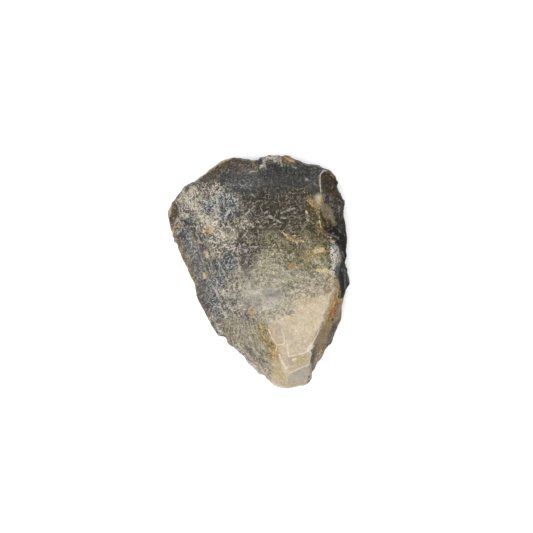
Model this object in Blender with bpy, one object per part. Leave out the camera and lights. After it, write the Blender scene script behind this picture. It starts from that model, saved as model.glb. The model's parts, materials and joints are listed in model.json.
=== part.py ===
"""A struck flint nodule, modelled the way it was made.

A rounded nodule is built first, with its rough rind on the underside. Flakes are then struck off it: each
one is a shallow dish that takes away everything outside it, so the ridges are where two dishes meet. Small
chips along the edges and the ridges come last. The stone lies on its underside, tip towards -Y, with its
struck face up (+Z). The origin is on the surface it rests on, under the middle of its outline.
"""

import math
import random

import bmesh
import bpy
from mathutils import Matrix, Vector, noise
from mathutils.bvhtree import BVHTree

MM = 0.001

# Driving dimensions, in millimetres.
RIM_HEIGHT = 7.5          # the widest level of the stone, where struck face and underside meet
FACE_HEIGHT = 17.0        # the struck face over the middle of the outline
FACE_FALL = 0.10          # how fast the face falls towards the butt, mm per mm
FACE_CROWN = 0.0012       # and how its fall grows away from the middle, per mm
ROLL_START = -5.0         # left of this x the face rolls over towards the thin left edge
ROLL_RADIUS = 56.0
LUMP_HEIGHT = 0.30        # broad unevenness of a struck surface
LUMP_SPAN = 11.0
RIND_LUMP_HEIGHT = 0.45   # the rind is lumpier
RIND_LUMP_SPAN = 6.0
BLANK_TOP = 27.0
DISH_CELL = 4.0           # size of the cells that a dish is made of
SEED = 11
HEART = Vector((2, 2, 9))  # a point well inside, which every flake is struck from outside of

# The outline seen from above, clockwise from the left shoulder. Its corners are where flakes ran out.
OUTLINE = [
    (-9, 39), (-2.8, 38.6), (-1.7, 37.9), (1, 39.3), (3.2, 40), (10.6, 39.7), (12, 38.6), (17, 37),
    (21, 36.2), (24.5, 34.6), (26.5, 32.4), (27.6, 29.8), (27.3, 28), (29.4, 24.4), (29.3, 19),
    (30.1, 14.5), (30.2, 9), (29.6, 4), (31.2, -2), (31, -4.4), (29.2, -8.2), (28.5, -15), (26.8, -20.2),
    (24.7, -25.4), (20.2, -31), (17.8, -36), (17.8, -37.6), (15.8, -39.4), (9.8, -40.2), (6.5, -39.6),
    (3.5, -37.6), (-0.2, -35), (-4.2, -31.1), (-5.5, -29), (-10.6, -25), (-11.6, -22.6), (-14.6, -21.4),
    (-18.3, -14.8), (-21.2, -8.5), (-22, -4.2), (-24.4, 0.6), (-26.9, 6), (-29.8, 12), (-31.3, 19.7),
    (-31, 21.2), (-29.1, 24.4), (-25.4, 29.2), (-21.6, 31.3), (-17.4, 34.5), (-13.4, 37.7),
]

# Rings of the nodule below and above the rim: (share of the outline, height).
RINGS_BELOW = [(0.975, 5.6), (0.91, 3.6), (0.80, 1.9), (0.66, 0.8), (0.50, 0.2), (0.36, 0.0)]
RINGS_ABOVE = [(0.985, 9.5), (0.96, 13.0), (0.93, BLANK_TOP)]


def face_height(x, y):
    """Height of the struck face before the smaller flakes came off it."""
    fall = FACE_FALL * y + FACE_CROWN * y * y
    roll = min(x - ROLL_START, 0.0) ** 2 / (2 * ROLL_RADIUS)
    return FACE_HEIGHT - fall - roll


def on_face(x, y):
    return (x, y, face_height(x, y))


def on_rim(x, y, above=1.0):
    return (x, y, RIM_HEIGHT + above)


def under_rim(x, y, below=0.9):
    return (x, y, RIM_HEIGHT - below)


# The flakes: name, three corners that the scar's surface passes through, how hollow it is, and its reach.
FLAKES = [
    ("left_flank", on_face(-8.8, 9), on_face(3.5, -20), (-28.5, 10, 8.9), 0.15, 58),
    ("left_strip", (-26.5, 17.5, 9.8), (-8.5, -15, 14.0), on_rim(-22, -6.5), 0.25, 40),
    ("left_foot", on_face(2.4, -17.5), (4.9, -26, 16.5), on_rim(-6, -29), 0.8, 24),
    ("left_corner", (-27.5, 24.5, 10.0), (-26, 17.5, 9.8), on_rim(-31.5, 19.5), 0.15, 11),
    ("butt_left", on_face(-3, 32), (-20.5, 28.5, 11.2), on_rim(-13, 38), 0.5, 30),
    ("butt_right", on_face(2, 35.5), on_face(20, 32.5), on_rim(12, 39), 0.3, 22),
    ("right_shoulder", on_face(21, 33.5), on_face(21, 26.5), on_rim(27.5, 30.5), 0.5, 14),
    ("right_upper", on_face(20.8, 26.5), on_face(20.3, 17.5), on_rim(29.5, 21), 0.7, 18),
    ("right_middle", on_face(26, 8), on_face(25.4, 0.3), on_rim(30, 5), 0.25, 14),
    ("right_lower", on_face(25.3, 0), on_face(23.5, -8.5), on_rim(31, -4), 0.35, 14),
    ("right_waist", on_face(23.7, -8.2), on_face(21, -17), on_rim(29, -14), 0.4, 20),
    ("right_foot", on_face(21, -17), on_face(17.5, -28), on_rim(27.5, -21.5), 0.3, 30),
    ("tip_right", on_face(18.2, -25.5), (17.7, -36.8, 14.4), on_rim(21.4, -30.4), 1.0, 7.5),
    ("tip_tear", on_face(4.6, -15.5), on_face(8.6, -23.8), (5.0, -25.6, 16.6), 0.3, 12),
    ("tip_step", (9.8, -28.3, 17.9), on_face(17.2, -26.5), (13.9, -32.8, 16.2), 0.15, 14),
    ("tip_left", (5.0, -25.8, 16.5), (9.8, -28.3, 17.9), (4.4, -37, 11.9), 0.15, 20),
    ("tip_end", (17.5, -31.2, 16.6), (10.7, -34.5, 15.7), (9.9, -38.9, 13.4), 0.2, 18),
    ("under_left", under_rim(-29, 14), under_rim(-20, -11), (-13, 5, 0.9), 0.5, 26),
    ("under_corner", under_rim(-30, 22), under_rim(-18, 34), (-14, 19, 0.9), 0.5, 20),
    ("under_butt", under_rim(-8, 39), under_rim(14, 38), (2, 22, 0.9), 0.6, 24),
    ("under_right", under_rim(29.5, 18), under_rim(29, -6), (18, 7, 0.9), 0.6, 24),
    ("under_shoulder", under_rim(27, 31), under_rim(29.5, 20), (18, 22, 1.2), 0.4, 14),
    ("under_waist", under_rim(27.5, -17), under_rim(18, -36), (13, -17, 1.0), 0.6, 22),
    ("under_foot", under_rim(-12, -22), under_rim(3, -37.5), (1, -19, 0.9), 0.6, 22),
]

# Smaller scars on the struck face: x, y, length, width, turn (degrees) and depth.
SCARS = [
    (10.0, 3.0, 38, 27, 100, 0.7),
    (23.4, 12.8, 10.0, 5.6, 118, 1.0),
    (-27.6, 15.6, 5.0, 3.2, 60, 0.4),
    (-22.0, 24.0, 12.0, 6.0, 40, 0.4),
    (-18.5, 9.0, 18.0, 8.0, 118, 0.3),
]


# Chips off the sharp edge all round, in groups that are cut one after another: their spacing and sizes.
CHIP_SPACING = 3.6
CHIP_GROUPS = 3
CHIP_LENGTH = (2.4, 7.0)
CHIP_REACH = (1.4, 4.2)
CHIP_DEPTH = (0.2, 0.5)
DISH_SHARE = 0.25         # a scar uses this share of half its ellipsoid's height
SHARP_ANGLE = math.radians(17)


def clear_scene():
    for thing in list(bpy.data.objects):
        bpy.data.objects.remove(thing, do_unlink=True)


def new_collection(name):
    made = bpy.data.collections.new(name)
    bpy.context.scene.collection.children.link(made)
    return made


def new_object(name, bm, collection):
    bmesh.ops.recalc_face_normals(bm, faces=bm.faces)
    mesh = bpy.data.meshes.new(name)
    bm.to_mesh(mesh)
    bm.free()
    made = bpy.data.objects.new(name, mesh)
    collection.objects.link(made)
    return made


def lump(x, y, z, span, height):
    """Broad uneven relief, the same on every run."""
    return height * noise.noise(Vector((x, y, z)) / span)


def grow_rings(bm, face, rings):
    """Extrudes the face through the rings, each a share of the outline at a height."""
    size = 1.0
    for share, height in rings:
        grown = bmesh.ops.extrude_discrete_faces(bm, faces=[face])
        face = grown["faces"][0]
        for vertex in face.verts:
            vertex.co.x *= share / size
            vertex.co.y *= share / size
            vertex.co.z = height
        size = share
    return face


def nodule(collection):
    """The rounded nodule: the outline at rim height, grown down to the flat spot and up to the top."""
    bm = bmesh.new()
    corners = [bm.verts.new((x, y, RIM_HEIGHT)) for x, y in OUTLINE]
    lower = bm.faces.new(corners)
    upper = bm.faces.new([bm.verts.new(v.co) for v in reversed(corners)])
    grow_rings(bm, lower, RINGS_BELOW)
    grow_rings(bm, upper, RINGS_ABOVE)
    bmesh.ops.remove_doubles(bm, verts=bm.verts, dist=1e-5)
    for vertex in bm.verts:
        if 0.1 < vertex.co.z < RIM_HEIGHT - 0.1:
            vertex.co.z += lump(*vertex.co, RIND_LUMP_SPAN, RIND_LUMP_HEIGHT)
    bmesh.ops.scale(bm, vec=(MM, MM, MM), verts=bm.verts)
    return new_object("flint_nodule", bm, collection)


def face_cutter(collection):
    """Everything above the struck face."""
    bm = bmesh.new()
    half = 46.0
    cells = round(2 * half / DISH_CELL)
    bmesh.ops.create_grid(bm, x_segments=cells, y_segments=cells, size=half)
    for vertex in bm.verts:
        x, y, _ = vertex.co
        vertex.co.z = face_height(x, y) + lump(x, y, 0, LUMP_SPAN, LUMP_HEIGHT)
    close_upwards(bm, 30.0)
    bmesh.ops.scale(bm, vec=(MM, MM, MM), verts=bm.verts)
    return new_object("cut_face", bm, collection)


def close_upwards(bm, height):
    """Turns an open sheet into a block, by extruding it up to a lid."""
    lid = bmesh.ops.extrude_face_region(bm, geom=bm.faces[:])
    for part in lid["geom"]:
        if isinstance(part, bmesh.types.BMVert):
            part.co.z = height


def circle_through(a, b, c):
    """Centre and radius of the circle through three points."""
    ab, ac = b - a, c - a
    normal = ab.cross(ac)
    centre = a + (normal.cross(ab) * ac.length_squared + ac.cross(normal) * ab.length_squared) / (
        2 * normal.length_squared
    )
    return centre, (centre - a).length


def dish_cutter(name, a, b, c, hollow, reach, collection):
    """A block that takes away what is outside the shallow dish through three corners."""
    a, b, c = Vector(a), Vector(b), Vector(c)
    out = (b - a).cross(c - a).normalized()
    if out.dot((a + b + c) / 3 - HEART) < 0:
        out.negate()
    centre, radius = circle_through(a, b, c)
    middle = (a + b + c) / 3
    curve = (radius ** 2 + hollow ** 2) / (2 * hollow)
    turn = out.to_track_quat("Z", "Y").to_matrix()
    offset = turn.transposed() @ (middle - centre)
    bm = bmesh.new()
    cells = max(4, round(2 * reach / DISH_CELL))
    bmesh.ops.create_grid(bm, x_segments=cells, y_segments=cells, size=reach)
    for vertex in bm.verts:
        x, y = vertex.co.x + offset.x, vertex.co.y + offset.y
        vertex.co.z = curve - hollow - math.sqrt(max(curve ** 2 - x * x - y * y, 0.0))
        vertex.co.z += lump(vertex.co.x, vertex.co.y, curve, LUMP_SPAN, LUMP_HEIGHT)
    close_upwards(bm, 30.0)
    place = Matrix.Translation((centre + turn @ Vector((offset.x, offset.y, 0))) * MM)
    bmesh.ops.transform(bm, matrix=place @ turn.to_4x4() @ Matrix.Scale(MM, 4), verts=bm.verts)
    return new_object("cut_" + name, bm, collection)


def scoop_cutter(bm, place, length, width, depth, subdivisions):
    """An ellipsoid whose lower cap makes a scar of this length, width and depth."""
    spread = math.sqrt(1 - (1 - DISH_SHARE) ** 2)
    rise = depth / DISH_SHARE
    stretch = Matrix.Diagonal((length / 2 / spread, width / 2 / spread, rise, 1))
    lift = Matrix.Translation((0, 0, rise - depth))
    bmesh.ops.create_icosphere(bm, subdivisions=subdivisions, radius=1, matrix=place @ lift @ stretch)


def surface_place(tree, x, y, up, heading):
    """A frame on the stone's surface over (x, y): Z along the surface's normal and X along the heading."""
    start = Vector((x, y, 60 * up)) * MM
    spot, normal, _, _ = tree.ray_cast(start, Vector((0, 0, -up)))
    if spot is None:
        spot, normal, _, _ = tree.find_nearest(Vector((x, y, RIM_HEIGHT)) * MM)
    along = Vector((math.cos(heading), math.sin(heading), 0))
    side = normal.cross(along).normalized()
    turn = Matrix((side.cross(normal), side, normal)).transposed()
    return Matrix.Translation(spot / MM) @ turn.to_4x4()


def scar_cutters(stone, collection):
    """The smaller scars, one cutter each."""
    tree = surface_of(stone)
    cutters = []
    for number, (x, y, length, width, turn, depth) in enumerate(SCARS):
        bm = bmesh.new()
        place = surface_place(tree, x, y, 1, math.radians(turn))
        scoop_cutter(bm, place, length, width, depth, 5 if length > 20 else 3)
        bmesh.ops.scale(bm, vec=(MM, MM, MM), verts=bm.verts)
        cutters.append(new_object(f"cut_scar_{number + 1}", bm, collection))
    return cutters


def rim_walk(step):
    """Points along the outline about one step apart, with the edge's heading and the way in from it."""
    walked = 0.0
    for start, end in zip(OUTLINE, OUTLINE[1:] + OUTLINE[:1]):
        a, b = Vector(start), Vector(end)
        length = (b - a).length
        along = (b - a) / length
        while walked < length:
            yield a + along * walked, math.atan2(along.y, along.x), Vector((along.y, -along.x))
            walked += step * random.uniform(0.75, 1.25)
        walked -= length


def chip_cutters(stone, collection):
    """Chips off the edge, above and below in turn, in groups whose own chips stay clear of each other."""
    tree = surface_of(stone)
    groups = [bmesh.new() for _ in range(CHIP_GROUPS * 2)]
    spots = list(rim_walk(CHIP_SPACING))
    del spots[len(spots) // len(groups) * len(groups):]
    for number, (spot, heading, inward) in enumerate(spots):
        up = 1 if number % 2 else -1
        length = random.uniform(*CHIP_LENGTH)
        reach = random.uniform(*CHIP_REACH)
        depth = random.uniform(*CHIP_DEPTH)
        spot = spot + inward * 0.3
        place = surface_place(tree, spot.x, spot.y, up, heading + random.uniform(-0.3, 0.3))
        scoop_cutter(groups[number % len(groups)], place, length, reach * 2, depth, 3 if length > 4 else 2)
    cutters = []
    for number, bm in enumerate(groups):
        bmesh.ops.scale(bm, vec=(MM, MM, MM), verts=bm.verts)
        cutters.append(new_object(f"cut_chips_{number + 1}", bm, collection))
    return cutters


def surface_of(stone):
    bm = bmesh.new()
    bm.from_mesh(stone.data)
    tree = BVHTree.FromBMesh(bm)
    bm.free()
    return tree


def strike(stone, cutters):
    """Takes the cutters away from the stone, one after another, and keeps the result as its mesh."""
    for cutter in cutters:
        cutter.hide_render = True
        cutter.display_type = "WIRE"
        cut = stone.modifiers.new(cutter.name, "BOOLEAN")
        cut.operation = "DIFFERENCE"
        cut.solver = "EXACT"
        cut.object = cutter
    view = bpy.context.evaluated_depsgraph_get()
    struck = bpy.data.meshes.new_from_object(stone.evaluated_get(view))
    stone.modifiers.clear()
    stone.data = struck


def centre(stone):
    """Puts the middle of the outline over the origin."""
    points = [vertex.co for vertex in stone.data.vertices]
    low = Vector([min(point[i] for point in points) for i in range(3)])
    high = Vector([max(point[i] for point in points) for i in range(3)])
    middle = (low + high) / 2
    stone.data.transform(Matrix.Translation((-middle.x, -middle.y, -low.z)))


def flint():
    material = bpy.data.materials.new("flint")
    material.use_nodes = True
    surface = material.node_tree.nodes["Principled BSDF"]
    surface.inputs["Base Color"].default_value = (0.105, 0.098, 0.082, 1)
    surface.inputs["Roughness"].default_value = 0.42
    surface.inputs["Metallic"].default_value = 0.0
    return material


def main():
    random.seed(SEED)
    clear_scene()
    stone_parts = new_collection("flint_nodule_parts")
    flakes = new_collection("struck_flakes")
    stone = nodule(stone_parts)
    cutters = [face_cutter(flakes)]
    for name, a, b, c, hollow, reach in FLAKES:
        cutters.append(dish_cutter(name, a, b, c, hollow, reach, flakes))
    strike(stone, cutters)
    strike(stone, scar_cutters(stone, flakes))
    strike(stone, chip_cutters(stone, flakes))
    centre(stone)
    stone.data.name = "flint_nodule"
    stone.data.materials.clear()
    stone.data.materials.append(flint())
    stone.data.shade_smooth()
    stone.data.set_sharp_from_angle(angle=SHARP_ANGLE)


main()
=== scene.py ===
"""A struck flint lying on a pale floor: its fine surface, its stone, the floor, the lights and the camera."""

import json
import math

import bpy
import numpy as np
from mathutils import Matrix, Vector

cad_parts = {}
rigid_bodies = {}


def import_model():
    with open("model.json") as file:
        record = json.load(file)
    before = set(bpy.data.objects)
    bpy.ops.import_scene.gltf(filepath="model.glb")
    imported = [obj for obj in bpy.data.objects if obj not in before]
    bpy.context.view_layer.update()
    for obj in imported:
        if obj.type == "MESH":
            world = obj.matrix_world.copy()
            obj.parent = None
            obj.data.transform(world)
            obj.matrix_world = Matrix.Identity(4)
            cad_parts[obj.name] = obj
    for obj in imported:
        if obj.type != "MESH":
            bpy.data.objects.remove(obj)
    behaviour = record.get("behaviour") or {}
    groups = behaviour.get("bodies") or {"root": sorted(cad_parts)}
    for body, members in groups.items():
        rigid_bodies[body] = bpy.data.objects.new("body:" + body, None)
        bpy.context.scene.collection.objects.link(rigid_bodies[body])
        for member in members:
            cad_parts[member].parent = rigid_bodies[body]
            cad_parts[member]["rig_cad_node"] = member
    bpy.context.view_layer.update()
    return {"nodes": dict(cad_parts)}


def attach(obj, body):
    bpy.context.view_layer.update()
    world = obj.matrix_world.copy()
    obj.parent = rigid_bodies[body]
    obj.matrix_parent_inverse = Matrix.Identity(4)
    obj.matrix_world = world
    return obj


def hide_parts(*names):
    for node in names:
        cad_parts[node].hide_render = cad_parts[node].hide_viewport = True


bl_info = {
    "name": "Struck Flint",
    "version": (1, 0, 0),
    "blender": (4, 5, 0),
    "location": "3D View > Sidebar > Flint",
    "description": "Gives a struck flint its fine surface and stone, and sets it on a lit floor",
    "category": "Object",
}

MM = 0.001

# How bright the stage's light makes a level white surface.
STAGE_LIGHT = 1.88

# A painted sheen added to every colour: it stands in for the reflection that the stone's weak specular leaves
# out.
PAINTED_SHEEN = 0.009

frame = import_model()


def rgb(*levels):
    """A surface's own colour with the painted sheen added, given as it looks on a screen under the stage's
    light, from 0 to 255.
    """
    return tuple((((v / 255 + 0.055) / 1.055) ** 2.4 + PAINTED_SHEEN) / STAGE_LIGHT for v in levels) + (1.0,)


# ---------------------------------------------------------------- shader nodes


class Value:
    """A number that a node gives out, which works in arithmetic."""

    def __init__(self, shade, socket):
        self.shade = shade
        self.socket = socket

    def math(self, operation, *others):
        return self.shade.node("Math", {"operation": operation}, [self, *others])

    def after(self, operation, other):
        """The same as math, with the other value first."""
        return self.shade.node("Math", {"operation": operation}, [other, self])

    def __add__(self, other):
        return self.math("ADD", other)

    def __sub__(self, other):
        return self.math("SUBTRACT", other)

    def __mul__(self, other):
        return self.math("MULTIPLY", other)

    def __truediv__(self, other):
        return self.math("DIVIDE", other)

    def __radd__(self, other):
        return self.after("ADD", other)

    def __rsub__(self, other):
        return self.after("SUBTRACT", other)

    def __rmul__(self, other):
        return self.after("MULTIPLY", other)

    def __rtruediv__(self, other):
        return self.after("DIVIDE", other)

    def __abs__(self):
        return self.math("ABSOLUTE")

    def most(self, other):
        return self.math("MAXIMUM", other)

    def clamped(self):
        return self.shade.node("Clamp", {}, [self, 0.0, 1.0])

    def ramp(self, low, high):
        """0 below low and 1 above high, with a smooth step between. It runs down if low is above high."""
        settings = {"interpolation_type": "SMOOTHSTEP"}
        if low < high:
            return self.shade.node("MapRange", settings, [self, low, high, 0.0, 1.0])
        return self.shade.node("MapRange", settings, [self, high, low, 1.0, 0.0])


class Shade:
    """The nodes of one material."""

    def __init__(self, name):
        self.material = bpy.data.materials.new(name)
        self.material.use_nodes = True
        self.tree = self.material.node_tree
        self.surface = self.tree.nodes["Principled BSDF"]

    def fill(self, made, values):
        """Fills a node's sockets, by order or by name, with values or links."""
        for key, value in values.items() if isinstance(values, dict) else enumerate(values):
            if isinstance(value, Value):
                self.tree.links.new(value.socket, made.inputs[key])
            else:
                made.inputs[key].default_value = value

    def node(self, kind, settings=None, values=(), output=0):
        """Adds a node, makes its settings and then fills its sockets."""
        made = self.tree.nodes.new("ShaderNode" + kind)
        for setting, value in (settings or {}).items():
            setattr(made, setting, value)
        self.fill(made, values)
        return Value(self, made.outputs[output])

    def also(self, value, output):
        """Another output of the node that a value comes from."""
        return Value(self, value.socket.node.outputs[output])

    def attribute(self, name):
        return self.node("Attribute", {"attribute_name": name}, output="Fac")

    def vector(self, operation, *values, output=0):
        return self.node("VectorMath", {"operation": operation}, values, output)

    def grain(self, place, size, detail=2.0, roughness=0.5, distortion=0.0, output=0):
        """Cloudy noise with features of about this size, from 0 to 1 and mostly near 0.5."""
        sockets = {"Vector": place, "Scale": 1 / size, "Detail": detail}
        sockets.update({"Roughness": roughness, "Distortion": distortion})
        return self.node("TexNoise", {}, sockets, output)

    def mix(self, below, above, share, blend="MIX"):
        """One colour laid over another."""
        settings = {"data_type": "RGBA", "blend_type": blend}
        return self.node("Mix", settings, {0: share, 6: below, 7: above}, output=2)


# ---------------------------------------------------------------- charts of the struck face

# All charts are seen from above and in tenths of a millimetre. A line is given as the x and y of its first
# place and then of each step on to the next.
TENTH = MM / 10

# The outline of each kind of stone.
ZONES = {
    "slate": (
        -140, 289, -4, 23, 30, 30, 42, 19, 57, 16, 4, 15, 95, 15, 64, -15, 107, -34, -41, -35, -2, -22,
        2, -38, -35, -10, -31, 15, -26, 4, -57, -17, -53, -19, -27, -8, -23, 19, -38, 23, -38, 8,
    ),
    "olive": (
        -26, 225, 38, 11, 53, 19, 57, 18, 26, -4, 31, -16, 35, 10, -9, -92, 12, -34, 34, -72, -4, -49,
        -45, -57, -61, 3, -57, 19, -38, 65, -72, 38, -42, 34, -15, 38, 7, 31,
    ),
    "gold": (46, 118, 57, 12, 129, 19, 23, -84, -4, -53, -49, -61, -88, 30, -38, 65),
    "brown": (
        -61, 255, 31, -8, 36, -22, 21, -8, 23, -30, -4, -61, -50, -23, 10, -38, -29, -46, -34, -3, -19, 57,
        4, 45, 42, 46, -8, 53,
    ),
    "ash": (
        -83, -6, 41, 34, 48, 31, 41, 10, 55, -41, 68, -27, 62, 20, 28, -27, -8, -69, -150, -13, 13, -28,
        -13, -41, -55, -13, -14, -21, -27, 21, -48, 27, -27, 68,
    ),
    "haze": (-42, -54, 89, 7, 61, -34, 7, -48, -61, -41, -28, -14, -34, 34, -34, 41),
    "cream": (
        -296, 236, 49, 53, 42, 17, 46, -5, 45, -8, 8, -23, -38, -19, 7, -64, 61, -16, -7, -45, 22, -46,
        -22, -38, -54, 8, -30, 45, -42, 46, -19, 46, -53, 19,
    ),
    "foot": (-127, -167, 49, 15, 46, -7, 34, -8, 30, -30, 31, -53, -12, -76, -3, -69, -137, -45, -114, 152),
    "band": (
        -224, 304, 30, 29, 69, 51, 34, 15, 46, 0, 41, -19, -15, -13, -19, -2, -38, -4, -30, -15, -46, -36,
        -26, -4, -23, 2,
    ),
    "tan": (
        114, -102, 27, 20, 45, -1, 46, 11, 19, -7, -32, -88, -31, -64, -9, -42, 0, -38, -6, -129, -171, 0,
        15, 49, 31, 49, 5, 65, 12, 27, -17, 19, -19, 38, 19, 22, 34, 16, 34, 11, 10, 19,
    ),
    "facet": (109, -342, 30, 16, 31, 12, 8, -12, -2, -46, -14, -27, -65, 0, 4, 27, -4, 15),
    "corner": (-311, 215, 15, 19, 15, 13, 11, -17, 7, -23, -5, -22, -13, -17, -11, -10, -16, 11),
    "umber": (
        215, 329, 30, 27, 19, -14, 12, -24, 7, -33, 12, -26, -12, -15, -19, 3, -15, 12, -29, 7, -4, 23,
        -2, 25,
    ),
    "slab": (
        219, 262, 15, 0, 15, -3, 15, -12, 15, 2, 27, -2, 0, -28, -8, -29, 8, -36, -42, 0, -4, 25, -5, 23,
        -8, 17, -21, 13, -6, 15,
    ),
    "iron": (
        262, 180, 50, 0, 5, -50, 0, -38, -5, -30, 0, -25, 11, -40, 4, -28, -8, -27, -15, -40, -16, 12, -4, 13,
        -2, 21, -1, -6, 0, 27, -9, 28, 6, 27, 3, 38, 0, 11, -7, 29, 7, 4, 0, 17,
    ),
    "pit": (
        214, 164, 8, 16, 29, -10, 11, -9, 8, -4, 11, -34, 0, -17, -7, -4, 0, -15, -8, 1, -8, 13, -12, 8,
        -29, 37,
    ),
    "rust": (
        226, -60, 15, 24, 17, 2, 15, -7, 2, -19, 13, -26, -3, -15, -27, -8, -4, -13, -9, -15, -19, -30,
        -9, -8, -7, 8, 3, 24, 13, 23, 8, 22, 2, 21,
    ),
    "dusk": (271, -58, 9, 4, 8, -32, -3, -9, -14, 3, -2, 17),
    "amber": (
        259, -95, 26, -2, -1, -9, -14, -6, -5, -19, -10, -29, -13, -21, -10, -5, 2, 23, 7, 21, 5, 18, -2, 15,
    ),
    "plate": (270, -111, 15, 5, 2, -39, -10, -17, -15, -10, -12, -9, 5, 21, 10, 29),
    "moss": (245, -167, 7, -6, -20, -45, -4, -22, 4, -12, -15, -26, -12, -4, 6, 42, 9, 35, 12, 21),
    "edge": (287, -142, 8, -10, -25, -65, -18, -40, -15, -25, -9, 25, 6, 40, 7, 25, 11, 14, 18, 15),
    "ledge": (272, 71, 9, -9, 1, -27, -8, -11, 2, -27, -10, 2, -4, 19, 12, 17),
    "crush": (
        243, 92, 12, 6, 15, -13, 5, -19, 1, -19, -5, -15, -13, -12, 2, -15, -5, -10, -11, 6, 0, 23, 2, 23,
    ),
    "wedge": (172, 243, 27, 16, 13, 5, 5, -12, -1, -16, -6, -18, -8, -2, -13, 7, -12, 10),
    "patch": (213, 228, 13, 1, 17, -6, 12, -25, 6, -36, -6, -5, -12, 11, -17, 11, -9, 13, -5, 17),
    "tear": (34, -188, 14, 15, 21, 2, 17, -24, 8, -17, -3, -29, -26, -6),
    "low flank": (
        217, -173, 20, 6, 17, -8, 4, -43, -13, -43, -19, -28, 46, 92, -25, -65, -28, -42, -36, -68, -18, 8,
        2, 38, 0, 45, 12, 42, 28, 57,
    ),
    "step": (103, -286, 21, 4, 41, 13, 13, -6, 0, -36, -9, -3, -30, -13, -30, -15, -27, 38),
    "bloom": (8, 378, 17, 18, 32, 0, 23, -10, 4, -28, -14, 7, -5, 10, -31, 0, -9, -23, -15, 2),
}

# The zones that go through the stone and show on its underside too.
THROUGH = ("slate", "olive", "gold", "brown", "ash", "haze", "cream", "foot", "band", "tan", "low flank")
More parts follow.
